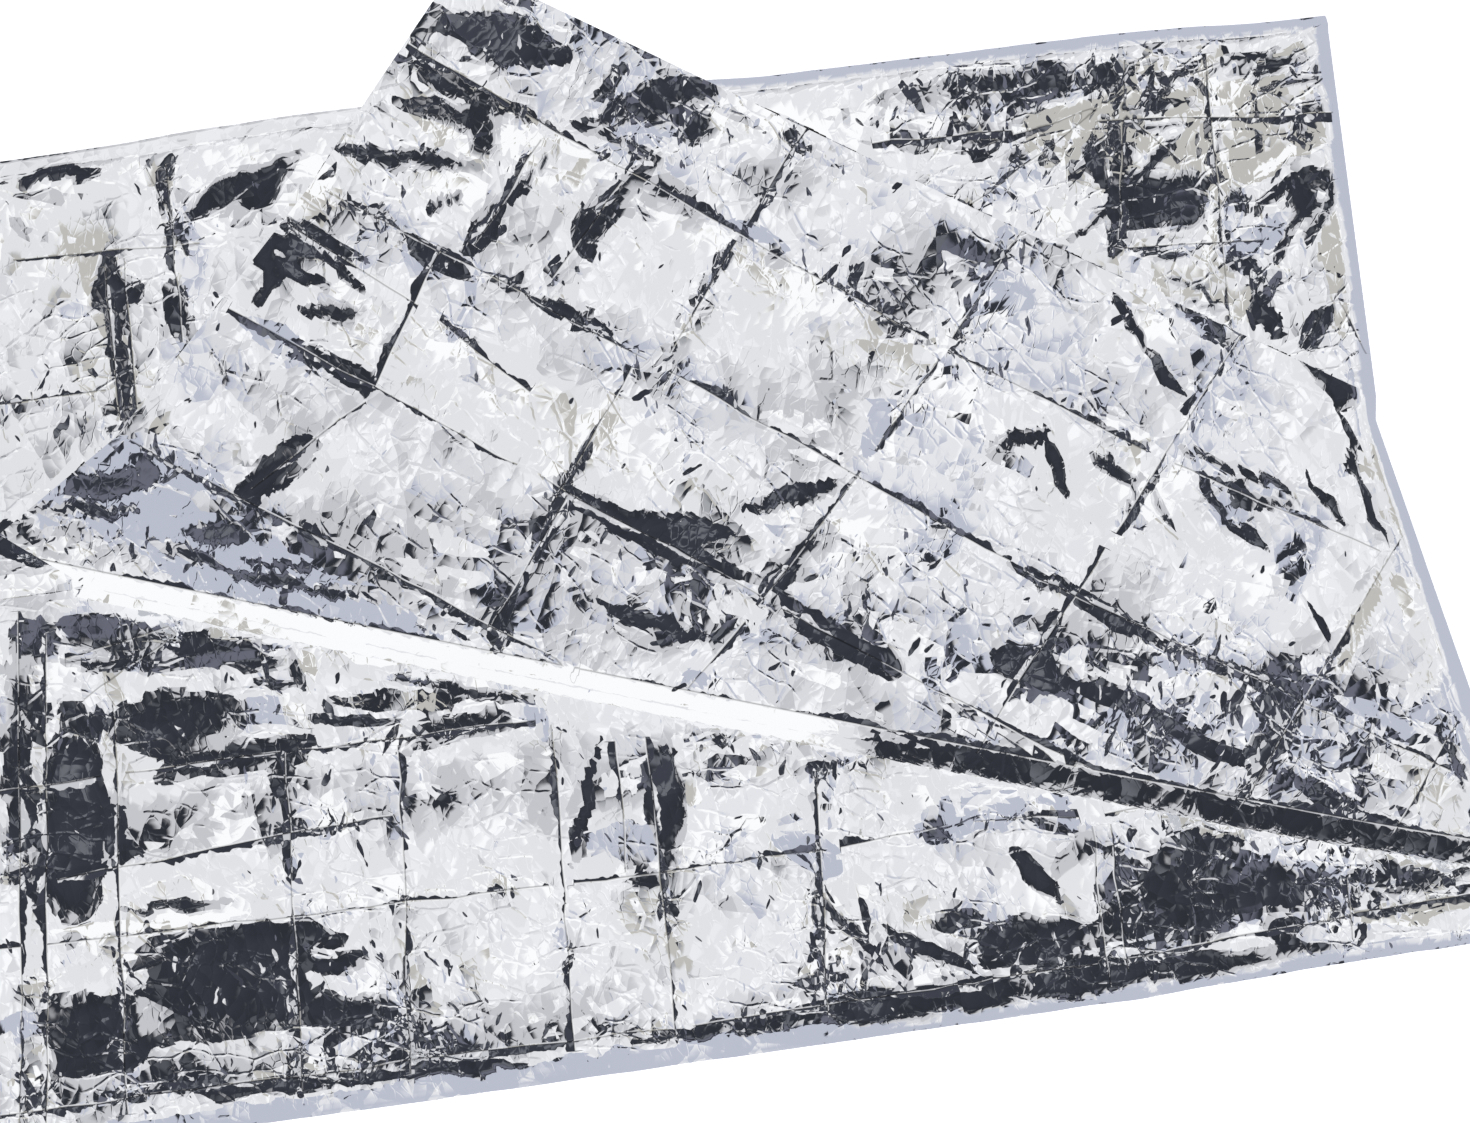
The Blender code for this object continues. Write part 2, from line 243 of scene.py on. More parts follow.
# fine relief: creases from the pack, tilted panes and crumpling
# Lower panel and upper layer: places on the strip. Flap: places on its own flat sheet.
creases = {  # layer: rows of (x1, y1, x2, y2, height, width); a height below 0 is a groove
    "lower": (
        (-660, -68, -336, -68, 1.4, 9), (-336, -68, -244, -67, 2, 8), (-244, -67, -107, -68, 1.8, 8),
        (-378, -117, -190, -107, 0.7, 6), (-660, -150, -389, -149, -1.5, 9),
        (-389, -149, -113, -155, -1.6, 8), (-113, -155, 30, -156, -1.3, 8),
        (30, -156, 99, -150, -1.5, 9), (99, -150, 167, -157, -1.6, 9), (167, -157, 370, -160, 1.2, 8),
        (-660, -232, -60, -239, 1.8, 9), (-60, -239, 167, -237, 1.8, 9), (167, -237, 380, -231, 1.8, 9),
        (-375, 28, -409, -250, -2.2, 7), (-362, 16, -395, -250, 2.2, 7), (-332, -24, -353, -250, 1.8, 8),
        (-246, -61, -260, -250, 1.3, 7), (-186, -67, -204, -250, -1.3, 7),
        (-106, -67, -116, -250, 1.9, 8), (-58, -79, -62, -250, -2.2, 9), (-74, -79, -78, -160, 1.6, 7),
        (28, -109, 17, -250, 1.3, 8), (167, -157, 165, -255, 2.2, 9), (176, -157, 176, -250, -1.8, 7),
        (296, -204, 293, -252, 1.5, 8), (-290, 6, -360, -5, 2, 9), (-290, 4, -352, -30, 1.8, 8),
    ),
    "upper": (
        (-660, 212, -360, 208, 1.6, 9), (-360, 208, -251, 200, 1.8, 9), (-660, 131, -308, 130, -1.5, 9),
        (-306, 202, -310, 109, -2.6, 11), (-296, 205, -300, 109, 1.8, 8), (-268, 249, -271, 145, 2.2, 9),
        (-280, 249, -262, 190, -1.4, 8), (94, 216, 212, 213, 1.9, 9), (212, 213, 346, 204, 1.6, 8),
        (216, 140, 300, 134, 1.6, 9), (278, 250, 273, 70, 1.9, 9), (236, 250, 221, 139, -2.2, 9),
        (238, 231, 140, 170, 2.4, 9), (226, 222, 150, 205, -1.8, 9), (226, 222, 262, 180, 1.8, 8),
        (328, 100, 345, 60, 2.4, 8),
    ),
    "flap": (
        (-345, -317, -273, -316, -1.6, 8), (-273, -316, -22, -321, 2, 8),
        (-352, -203, -260, -201, -1.4, 8), (-368, -64, -94, -80, -1.6, 8),
        (-22, -321, 107, -328, 1.7, 8), (107, -328, 238, -344, 1.8, 8), (-346, -228, -144, -238, 2, 8),
        (-144, -238, 72, -241, 2.2, 8), (72, -240, 330, -262, 2.4, 9), (-357, -149, -174, -156, -1.8, 8),
        (-174, -156, -30, -161, -1.8, 8), (-30, -160, 160, -168, 2, 8), (-260, -201, -190, -190, 1.6, 7),
        (-254, -315, -259, -236, -1.9, 8), (-208, -317, -214, -245, -1.5, 8),
        (-141, -319, -141, -240, -2.4, 9), (-264, -149, -296, -70, 1.8, 8),
        (-272, -240, -266, -150, -1.8, 8), (-155, -236, -155, -144, -2, 8),
        (-150, -160, -150, -70, 1.2, 8), (-15, -405, -18, -321, 2, 8), (-18, -321, -24, -249, 2.4, 8),
        (-24, -249, -36, -150, -2.4, 8), (-36, -150, -46, -95, 2, 8), (111, -412, 107, -277, 2, 8),
        (107, -277, 100, -130, -1.6, 9), (238, -360, 236, -180, 2, 9), (312, -290, 313, -200, 1.8, 9),
        (-140, -400, -141, -319, 1.4, 8),
    ),
}
leans = {  # what the film leaning so reflects: (tilt, towards)
    "dark": (17.0, 112.0),
    "lavender": (12.0, 18.0),
    "warm": (12.0, 205.0),
    "white": (10.0, -100.0),
    "grey": (14.0, 170.0),
    "slate": (16.5, 70.0),
}
panes = {  # layer: lean: rows of (x, y, halfLength, halfWidth, turn); later rows lie over earlier ones
    "lower": {
        "warm": ((-46, -112, 15, 5, -39), (327, -236, 30, 6, -1)),
        "lavender": ((-140, -252, 540, 5, 0), (-254, -45, 12.5, 8, -10.5)),
        "grey": ((-251, -20, 34, 3.5, -17), (-183, -50, 37, 4.5, -8), (328, -215, 32, 9, -5.5)),
        "slate": ((-324, 10, 33, 7, -2.5), (-281, -13, 52, 4, -0.5), (-170, -41, 20, 3.5, -11),
            (-367, 6.5, 11, 9, -7.5), (264, -201, 27, 7, -24), (217, -212, 23, 4, -71)),
        "dark": ((-328, -8, 29, 3, -1), (-247, -32, 14, 2.5, -25), (-139, -53, 29, 3.5, -15),
            (-211, -56, 26, 2.5, -9), (-360, -88, 62, 14, 82), (-301, -44, 34, 13, -3),
            (-304, -2, 52, 5, -7), (-256, -240, 131, 3, -4), (105, -245, 197, 8, -1),
            (237, -208, 55, 13, -7), (328, -211, 33, 9, -3), (-93, -111, 35, 3.5, 70),
            (-53, -119, 31, 9, 86), (34, -201, 38, 2.5, -54), (134, -184, 19, 5, -53),
            (-560, -110, 50, 38, 0), (-470, -195, 50, 36, 0), (197, -209, 33, 22, -2),
            (221, -180, 21, 11.5, -17.5), (128, -220, 32, 13, 0), (91, -202, 15, 5, 6),
            (75, -218, 32, 3.5, -33), (15.5, -225, 26, 3, 0.5), (-362, -200, 27, 21, 0.5),
            (-292, -182, 46, 28, -2.5), (-240, -163, 13.5, 4.5, -15.5), (-231, -179, 17.5, 5, 0),
            (-316, -139, 30, 2, -6.5), (-228, -206, 25, 8.5, -9), (-320, 27, 15.5, 2.5, -16),
            (-255, -19.5, 14.5, 2, -2.5), (-235, -29, 12, 2.5, 87)),
        "white": ((-194, -26, 24, 3.5, -20), (-320, -147, 62, 3.5, -2)),
    },
    "upper": {
        "warm": ((307, 228, 27, 7, 45), (319, 215, 24, 9, -5.5), (295, 188, 19, 17, -3.5),
            (268, 190, 17, 6.5, 85), (269, 150, 19.5, 5, 84), (244, 138, 23, 2.5, -4.5),
            (336, 111, 42, 9, 88), (255, 110, 21, 4, -19), (309, 200, 28, 6, -1.5),
            (323, 213, 25, 6, -0.5), (316, 236, 20, 6.5, 17), (270, 191, 16.5, 6, 53),
            (255, 117, 22, 9.5, -18), (268, 132, 11.5, 4.5, -60), (334, 124, 23, 9.5, -80),
            (333, 84, 19.5, 6.5, -76), (230, 216, 26, 2.5, 35), (301, 191, 21, 11.5, -1),
            (333, 199, 13.5, 7.5, 6.5)),
        "lavender": ((296, 136, 20, 7, 27), (346, 126, 50, 2.5, 87), (260, 246, 22, 2, -7)),
        "slate": ((309, 232, 19.5, 3.5, 9), (296, 109, 10.5, 2.5, 59), (164, 229, 49, 4, -0.5)),
        "dark": ((-240, 224, 28, 6, 24), (-305, 160, 47, 4, 87), (-269, 234, 16, 2.5, 87),
            (-328, 249, 26, 2.5, 0), (171, 238, 63, 9.5, 0), (245, 164, 28, 15, -3),
            (231, 175, 50, 2.5, 36), (219, 158, 26, 3.5, 83), (-540, 170, 60, 30, 0),
            (-368, 56, 24, 9, -22), (335, 234, 12.5, 2, -89), (318, 144, 17.5, 3, 42),
            (317, 84, 13, 5, 55), (309, 234, 22, 3.5, 11), (266, 236, 12, 3, 18.5),
            (253, 202, 16.5, 3, 8.5), (227, 200, 16, 4, -63), (255, 216, 22, 2.5, -4),
            (283, 158, 9.5, 2.5, -67), (319, 153, 13, 6, -69), (279, 188, 17, 1.5, 86),
            (213, 190, 14, 4, -85), (251, 224, 10.5, 3, 28), (-218, 225, 22, 6.5, 36),
            (309, 163, 13.5, 3, 21), (304, 128, 11.5, 3, 49), (250, 190, 12, 2.5, 35),
            (295, 154, 8, 2, 52), (331, 166, 9.5, 6, -23), (326, 144, 21, 4, 59), (285, 122, 7.5, 4, -41),
            (289, 103, 15.5, 3, 87), (296, 88, 9, 4, -59), (244, 129, 15, 2.5, -14),
            (254, 114, 14, 2, -15), (262, 102, 16, 2.5, -20), (300, 240, 19, 2.5, 21),
            (317, 224, 22, 2, 10.5)),
        "white": ((273, 170, 61, 1.5, 83), (-505, 37, 165, 6, 0), (315, 182, 29, 3, 19)),
    },
    "flap": {
        "warm": ((216, -378, 46, 8.5, 44), (244, -307, 31, 4, 84), (267, -327, 22, 9, 38),
            (286, -301, 18, 5, -85), (320, -247, 25, 11.5, 38), (238, -237, 18.5, 2.5, 88)),
        "lavender": ((-291, -313, 37, 3.5, -3), (-265, -38, 125, 22, -7), (246, -360, 60, 2, 43),
            (-211, -346, 23, 9.5, -27), (-371, -32, 29, 12, -68), (-320, -61, 42, 5, -6.5)),
        "grey": ((-294, -313, 39, 4.5, -8),),
        "slate": ((-305, -268, 26, 2.5, -31), (-327, -205, 25, 3.5, -4.5), (-357, -42, 27, 6, -41),
            (-296, -47, 19, 4.5, -36), (-264, -49, 23, 2.5, -23), (-210, -349, 28, 6, -31),
            (85, -401, 15.5, 4.5, 25)),
        "dark": ((-215, -355, 27, 7.5, -51), (-306, -295, 29, 4.5, -18), (-253, -277, 35, 2, -78),
            (-144, -292, 29, 2, -86), (-328, -205, 26, 3, -4), (-266, -227, 21, 5, -1),
            (-195, -237, 24, 3, -7), (-335, -184, 23, 4.5, -7), (-348, -178, 13, 3.5, 54),
            (-93, -168, 34, 6, -21), (-48, -215, 30, 4, -45), (-81, -120, 38, 4, -14),
            (-153, -172, 21, 2, -90), (285, -215, 36, 6, 6), (131, -341, 16, 2, -9),
            (159, -347, 16.5, 2.5, -15.5), (194, -352, 16.5, 2, 21), (140, -325, 14.5, 2, 39),
            (165, -314, 14, 2.5, -2), (40, -300, 18, 3.5, -48), (63, -295, 17.5, 4, 46),
            (92, -311, 17.5, 3.5, -10.5), (105, -300, 10, 2, 87), (123, -306, 14.5, 2, 20),
            (58, -381, 19.5, 2.5, 25), (90, -368, 18.5, 3, 16.5), (82, -406, 12.5, 3.5, -10),
            (96, -401, 10.5, 3, 38), (149, -412, 12.5, 4, 18.5), (167, -406, 15, 6, 22),
            (204, -371, 42, 2, 42), (226, -293, 15, 2, 39), (85, -243, 23, 3.5, -2.5),
            (128, -244, 25, 6, -2.5), (192, -250, 46, 3, -6), (105, -198, 25, 8.5, -8.5),
            (149, -204, 25, 7, -8.5), (203, -210, 35, 6, -6), (225, -241, 11, 4.5, 10.5),
            (-296, -345, 36, 10, -14.5), (-282, -339, 14.5, 3.5, -26), (-204, -368, 19, 6.5, -24),
            (-238, -352, 11.5, 4.5, -82), (-188, -355, 11.5, 4.5, -44), (-220, -329, 29, 2, -11),
            (-286, -299, 15.5, 7, 53), (-314, -306, 15.5, 2.5, -10), (-312, -263, 39, 4.5, -24),
            (-285, -251, 17.5, 2, -61), (-337, -196, 19.5, 3.5, -13.5), (-308, -197, 14.5, 2.5, 15.5),
            (-353, -184, 9.5, 4, -90), (-340, -170, 12.5, 3, -79), (-305, -174, 19, 3.5, -27),
            (-204, -275, 29, 0.5, -84), (-365, -21, 30, 2, -26), (-305, -30, 20, 2, -11),
            (-263, -40, 23, 3.5, -23), (-223, -54, 21, 2.5, -19), (-169, -63, 30, 1, -10.5)),
    },
}
crumple = {
    "sizes": (44.0, 23.0, 12.0, 6.5),  # facet sizes, coarse to fine
    "heights": (0.40, 0.22, 0.12, 0.05),
    "calm": 0.7,  # how much of it is left away from creases
    "calmReach": 16.0,
    "patch": 85.0,  # size of the patches that are crumpled more,
    "patchGain": 0.5,  # and by how much
    "crumpled": (0.5, 0.95, 8.0, 0.3),  # shading: everywhere, by creases, reach, in patches
    "fleckTurns": (8.0, 52.0, 98.0, 141.0),  # ways that short sharp wrinkles run
    "fleckSize": 11.0,
    "fleckPatch": 70.0,
    "fleckCalm": 0.35,  # share of the flecks away from creases
    "fleckReach": 18.0,
    "fleckStretch": 3.2,
    "fleckHeight": 0.5,
    "tube": 0.5,
    "crease": 0.3,
    "creaseWobble": 1.2,
    "creaseFade": 12.0,  # over which a crease's ends fade out
    "roughSoft": 0.6,
    "paneSoft": 0.9,  # how gradually a leaning pane fades out
    "paneJag": 3.0,  # how unevenly its outline wanders
    "paneTaper": 0.7,  # how far a long pane narrows at its ends
    "flanks": {             # layer: rows of (size in mm, level, reach from the crease, seed, lean)
        "lower": ((46.0, 0.3, 8.0, 61, "dark"), (60.0, 0.35, 12.0, 67, "lavender")),
        "upper": ((46.0, 0.25, 8.0, 61, "dark"), (60.0, 0.3, 14.0, 67, "warm")),
        "flap": ((46.0, 0.3, 8.0, 61, "dark"), (60.0, 0.35, 12.0, 67, "lavender")),
    },
}


def creaseRelief(layer, x, y):
    wobble = crumple["creaseWobble"] * facets(x, y, 30.0, 21)
    total, nearest = np.zeros_like(x), np.full_like(x, farAway)
    away = {"long": nearest.copy(), "cross": nearest.copy()}  # signed distances, for the shader
    for x1, y1, x2, y2, height, width in creases[layer]:
        run, beside, length = lineFrame(x, y, x1, y1, x2, y2)
        inside = ease(run / crumple["creaseFade"]) * ease((length - run) / crumple["creaseFade"])
        beside = beside + wobble
        total += crumple["crease"] * height * inside * np.exp(-np.abs(beside) / width)
        nearest = np.where(inside > 0.0, np.minimum(nearest, np.abs(beside)), nearest)
        kind = "long" if abs(x2 - x1) > abs(y2 - y1) else "cross"
        closer = (inside > 0.3) & (np.abs(beside) < np.abs(away[kind]))
        away[kind] = np.where(closer, beside * math.copysign(1.0, height), away[kind])
    return total, nearest, away


rough = {  # layer: (x, y, halfLength, halfWidth, turn, amount): areas that are crumpled more
    "lower": (
        (-250, -25, 130, 34, 0, 0.4), (10, -100, 50, 20, 0, 0.6), (60, -205, 60, 30, 0, 0.5),
        (260, -200, 90, 40, 0, 0.6), (-240, -200, 100, 34, 0, 0.4), (-620, -160, 60, 60, 0, 0.4),
    ),
    "upper": (
        (-300, 150, 50, 60, 0, 0.4), (190, 236, 90, 18, 0, 0.8), (300, 160, 50, 80, 0, 0.5),
        (200, 185, 70, 26, 30, 0.6),
    ),
    "flap": (
        (-230, -355, 90, 34, 0, 0.6), (-120, -110, 90, 26, 0, 0.2), (30, -200, 60, 30, 0, 0.5),
        (-110, -200, 60, 30, 0, 0.2), (-40, -330, 60, 50, 0, 0.2), (220, -215, 100, 36, 0, 0.6),
        (-250, -20, 130, 36, -12, 0.4), (-330, -250, 40, 60, 0, 0.4),
    ),
}


def turned(x, y, cx, cy, turn):  # a place seen from the middle and along the length of a turned box
    c, s = math.cos(math.radians(turn)), math.sin(math.radians(turn))
    return (x - cx) * c + (y - cy) * s, (y - cy) * c - (x - cx) * s


def softBox(u, v, soft):  # 1 inside the box from -1 to 1, 0 outside
    return ease((1.0 + 0.4 * soft - np.abs(u)) / soft) * ease((1.0 + 0.4 * soft - np.abs(v)) / soft)


def leaning(kind, amount):  # the film's lean as a plan vector
    tilt, towards = (math.radians(turn) for turn in leans[kind])
    return amount * math.tan(tilt) * math.cos(towards), amount * math.tan(tilt) * math.sin(towards)


def paneLean(layer, x, y):  # how far the film leans in the panes between creases
    total, cover = np.zeros((2, len(x))), np.zeros_like(x)
    jagX = crumple["paneJag"] * (facets(x, y, 22.0, 31) + 0.6 * facets(x, y, 9.0, 33))
    jagY = crumple["paneJag"] * (facets(x, y, 22.0, 35) + 0.6 * facets(x, y, 9.0, 37))
    for kind, rows in panes[layer].items():
        for cx, cy, halfLength, halfWidth, turn in rows:
            along, beside = turned(x + jagX, y + jagY, cx, cy, turn)
            u = along / halfLength
            long = float(ease((halfLength / halfWidth - 1.6) / 2.0))
            width = halfWidth * (1.1 - crumple["paneTaper"] * long * np.minimum(u * u, 1.2))
            window = softBox(u, beside / width, crumple["paneSoft"])
            total = total * (1.0 - window) + np.array(leaning(kind, window))
            cover = np.maximum(cover, window)
    return total, cover


def flankLean(layer, x, y, nearest):  # patches along the creases where the film leans more
    total = np.zeros((2, len(x)))
    for size, level, reach, seed, kind in crumple["flanks"][layer]:
        amount = patches(x, y, size, seed, level) * np.exp(-(nearest / reach) ** 2)
        total += np.array(leaning(kind, amount))
    return total


def fleckRelief(x, y):  # short sharp wrinkles, a few here and many there
    total = np.zeros_like(x)
    for k, turn in enumerate(crumple["fleckTurns"]):
        c, s = math.cos(math.radians(turn)), math.sin(math.radians(turn))
        u, v = (x * c + y * s) / crumple["fleckStretch"], y * c - x * s
        raised = facets(u, v, crumple["fleckSize"], 71 + 3 * k) - 0.5
        some = patches(x, y, crumple["fleckPatch"], 91 + k, -0.15)
        total += np.maximum(raised, 0.0) * 2.0 * some * (1.0 if k % 2 else -1.0)
    return crumple["fleckHeight"] * total


def crumpleRelief(x, y, nearest):
    strength = crumple["calm"] + (1.0 - crumple["calm"]) * np.exp(-nearest / crumple["calmReach"])
    strength += crumple["patchGain"] * patches(x, y, crumple["patch"], 41, 0.1)
    total = np.zeros_like(x)
    for k, (size, height) in enumerate(zip(crumple["sizes"], crumple["heights"])):
        total += height * facets(x, y, size, 50 + 7 * k)
    flecks = crumple["fleckCalm"] + (1.0 - crumple["fleckCalm"]) * np.exp(-nearest / crumple["fleckReach"])
    return total * strength + fleckRelief(x, y) * flecks


def fineRelief(layer, x, y, planX, planY):
    placeX, placeY = (x, y) if layer == "flap" else (planX, planY)
    creased, nearest, away = creaseRelief(layer, placeX, placeY)
    base, byCreases, reach, inPatches = crumple["crumpled"]
    some = patches(x, y, 50.0, 43, -0.25)
    broad = patches(x, y, crumple["patch"], 41, 0.15)
    crumpled = base + byCreases * some * np.exp(-nearest / reach) + inPatches * broad
    for cx, cy, halfLength, halfWidth, turn, amount in rough[layer]:
        u, v = turned(placeX, placeY, cx, cy, turn)
        crumpled += amount * softBox(u / halfLength, v / halfWidth, crumple["roughSoft"])
    lean, cover = paneLean(layer, placeX, placeY)
    leanX, leanY = lean + (1.0 - cover) * flankLean(layer, x, y, nearest)
    marks = {"longAway": away["long"], "longNear": np.abs(away["long"]),
             "crossAway": away["cross"], "crossNear": np.abs(away["cross"]),
             "crumpled": crumpled, "leanX": leanX, "leanY": leanY}
    return creased + crumpleRelief(x, y, nearest), marks


def flapLeftX(flatY):  # the flap's left border
    rows = ends["flapLeft"][::-1]
    return np.interp(flatY, [r[2] for r in rows] + [rows[-1][0]], [r[3] for r in rows] + [rows[-1][1]])


def flapCovers(planX, planY, margin):  # true where the flap hides what lies below
    along, past = slantFrame(planX, planY)
    flatX, flatY = fromSlantFrame(along, -past + math.pi * folds["slantBend"])
    border = borderY + (ends["flapCornerX"] - flatX) * ends["borderSkew"] / borderRun
    return (past < -margin) & (flatY > border + margin) & (flatX > flapLeftX(flatY) + margin)


def foldFilm(x, y):  # middle of the two plies, and the way that the first ply faces
    place, facing = np.zeros((3, len(x))), np.zeros((3, len(x)))
    # 0 upper layer, 1 slanting bend, 2 flap, 3 top bend, 4 lower panel, 5 bottom bend, 6 underfold
    layer = np.zeros(len(x), int)
    bend, slantBend = folds["bend"], folds["slantBend"]
    along, past = slantFrame(x, y)
    foldedOver = (past > 0.0) & (y <= topY)
    foldedOver &= (x > ends["notchX"] - 0.5) | (y < ends["leftBorderY"] - 0.5)
    layer[foldedOver] = 1
    layer[foldedOver & (past >= math.pi * slantBend)] = 2
    pastTop = y - topY
    layer[pastTop > 0.0] = 3
    planY = topY - (pastTop - math.pi * bend)
    layer[pastTop >= math.pi * bend] = 4
    pastBottom = -topY - planY
    layer[(layer == 4) & (pastBottom > 0.0)] = 5
    layer[(layer == 5) & (pastBottom >= math.pi * bend)] = 6

    on = layer == 0
    place[:, on] = x[on], y[on], rollEnd(x[on], y[on], upperHeight(x[on], y[on]))
    facing[2, on] = -1.0

    on = layer == 1
    turn = past[on] / slantBend
    lineX, lineY = fromSlantFrame(along[on], 0.0)
    px, py = fromSlantFrame(along[on], slantBend * np.sin(turn))
    height = upperHeight(lineX, lineY) + slantBend * (1.0 - np.cos(turn))
    place[:, on] = px, py, rollEnd(px, py, height)
    facing[:, on] = np.sin(turn) * slantSin, -np.sin(turn) * slantCos, -np.cos(turn)

    on = layer == 2
    fromSlant = past[on] - math.pi * slantBend
    px, py = fromSlantFrame(along[on], -fromSlant)
    place[:, on] = px, py, rollEnd(px, py, flapHeight(px, py, x[on], y[on], fromSlant))
    facing[2, on] = 1.0

    for code, side, past in ((3, 1.0, pastTop), (5, -1.0, pastBottom)):
        on = layer == code
        turn = past[on] / bend
        base = lowerHeight(x[on], np.full(on.sum(), side * topY))
        place[:, on] = x[on], side * (topY + bend * np.sin(turn)), base + bend * (side + np.cos(turn))
        facing[1:, on] = -np.sin(turn), -side * np.cos(turn)

    on = layer == 4
    place[:, on] = x[on], planY[on], lowerHeight(x[on], planY[on])
    facing[2, on] = 1.0

    on = layer == 6
    place[:, on] = x[on], -topY + pastBottom[on] - math.pi * bend, np.full(on.sum(), tableZ)
    facing[2, on] = -1.0
    return place, facing, layer


def isSeen(x, y, ply, margin):  # where a ply is on the outside and nothing lies over it
    place, facing, layer = foldFilm(x, y)
    planX, planY = place[0], place[1]
    pastSlant = slantFrame(planX, planY)[1]
    openLower = np.where(planX < ends["notchX"], planY < ends["leftBorderY"] + margin, pastSlant > -margin)
    openUpper = ~flapCovers(planX, planY, margin)
    first = (layer == 1) | (layer == 2) | (layer == 5) | ((layer == 4) & openLower)
    second = ((layer == 0) & openUpper) | (layer == 3)
    return first if ply == 0 else second


def flatEndX(y):  # right-hand outline of the flat film
    turnX, turnY = ends["flapTurn"]
    if y > bottomY:
        return float(endX(y - bottomY - topY)) - ends["underInset"]
    if y > topY:
        return float(endX(2.0 * topY - y)) - ends["inset"] * float(ease((y - topY) / folds["ease"]))
    if y > turnY:
        outset = ends["outset"] * float(ease((y - ends["outsetY"]) / ends["outsetEase"]))
        share = float(ease((ends["insetY"] - y) / ends["insetEase"]))
        return float(endX(y)) - (ends["inset"] - outset) * share
    return turnX + (ends["flapCornerX"] - turnX) * (turnY - y) / (turnY - borderY)


def cutAlong(bm, x, y, run, faces):
    geom = {v for f in faces for v in f.verts} | {e for f in faces for e in f.edges}
    bmesh.ops.bisect_plane(bm, geom=list(geom) + list(faces), dist=0.3,
                           plane_co=(x, y, 0.0), plane_no=(-run[1], run[0], 0.0))


def facesWhere(bm, test):
    return [f for f in bm.faces if test(*f.calc_center_median()[:2])]


def leftOfFlap(x, y):
    yTop = ends["flapLeft"][0][0]
    if y >= ends["leftBorderY"] or (x > ends["notchX"] and y > yTop):
        return False
    return y > yTop or x < flapLeftX(y)


def flatPly(ply):  # one ply of the film, lying flat, with finer faces where it will be seen
    step = film["coarseStep"]
    width, height = ends["rightX"] - leftX, endY - borderY
    bm = bmesh.new()
    bmesh.ops.create_grid(bm, x_segments=round(width / step), y_segments=round(height / step), size=0.5)
    bmesh.ops.scale(bm, vec=(width, height, 1.0), verts=bm.verts)
    bmesh.ops.translate(bm, vec=((ends["rightX"] + leftX) / 2, (endY + borderY) / 2, 0.0), verts=bm.verts)
    for v in bm.verts:
        share = (v.co.x - leftX) / width
        v.co.x += (flatEndX(v.co.y) - ends["rightX"]) * share ** 3
    notchX, topOfFlap, reach = ends["notchX"], ends["flapLeft"][0][0], film["cutReach"]
    cutAlong(bm, notchX, 0.0, (0.0, 1.0), facesWhere(bm, lambda x, y: y < topY and x < notchX + 2 * step))
    cutAlong(bm, 0.0, ends["leftBorderY"], (1.0, 0.0), facesWhere(bm, lambda x, y: y < topY and x < notchX))
    for yTop, xTop, yBottom, xBottom in ends["flapLeft"]:
        near = facesWhere(bm, lambda x, y: y < topOfFlap + reach and x < notchX + reach)
        cutAlong(bm, 0.0, yTop, (1.0, 0.0), near)
        band = facesWhere(bm, lambda x, y: yBottom - step < y < yTop and x < xBottom + 4 * step)
        cutAlong(bm, xTop, yTop, (xBottom - xTop, yBottom - yTop), band)
    bmesh.ops.delete(bm, geom=facesWhere(bm, leftOfFlap), context="FACES")
    cornerX, skew = ends["flapCornerX"], ends["borderSkew"] / borderRun
    low = facesWhere(bm, lambda x, y: y < borderY + ends["borderSkew"] + 2 * step)
    cutAlong(bm, cornerX, borderY, (1.0, -skew), low)
    gone = facesWhere(bm, lambda x, y: y < borderY + (cornerX - x) * skew)
    bmesh.ops.delete(bm, geom=gone, context="FACES")
    bmesh.ops.triangulate(bm, faces=[f for f in bm.faces if len(f.verts) > 4])

    centres = np.array([f.calc_center_median()[:2] for f in bm.faces])
    seen = isSeen(centres[:, 0], centres[:, 1], ply, film["fineMargin"])
    fine = [f for f, s in zip(bm.faces, seen) if s]
    bmesh.ops.subdivide_edges(bm, edges=list({e for f in fine for e in f.edges}),
                              cuts=film["fineCuts"], use_grid_fill=True)
    return bm


tube = {
    "band": 7.0,            # width of the smooth strip on the flap beside the slanting bend
    "brightEnd": 20.0,      # how far along the bend its bright part reaches
    "fade": 60.0,
    "creaseAway": 30.0,     # how far off the next crease counts on the bend
    "bandShare": 1.2,       # how far past that strip's width it still counts as a crease
    "rimWidth": 2.5,        # the smooth rim along the long folds and the right-hand end
    "rimShare": 0.4,        # how full that rim still is at its very edge
    "edgeSoft": 3.0,        # over which the bends run out into the film
    "leftX": 40.0,          # left of here the top rim is pale in another way
    "upright": 0.5,         # how much of its own slope the film loses in the shading, away from bends
    "bright": (9.0, -106.0),  # the bright part leans this many degrees, towards this azimuth,
    "dark": (14.0, 112.0),    # the dark part this much
    "rim": (12.0, 18.0),      # the rims this much
    "topLeft": (0.5, 120.0),  # and the left half of the top rim this much
    "crumpled": 0.12,
    "darkCrumpled": 0.45,
}


def leanOf(part, axis):
    tilt, towards = tube[part]
    return math.tan(math.radians(tilt)) * (math.sin if axis else math.cos)(math.radians(towards))


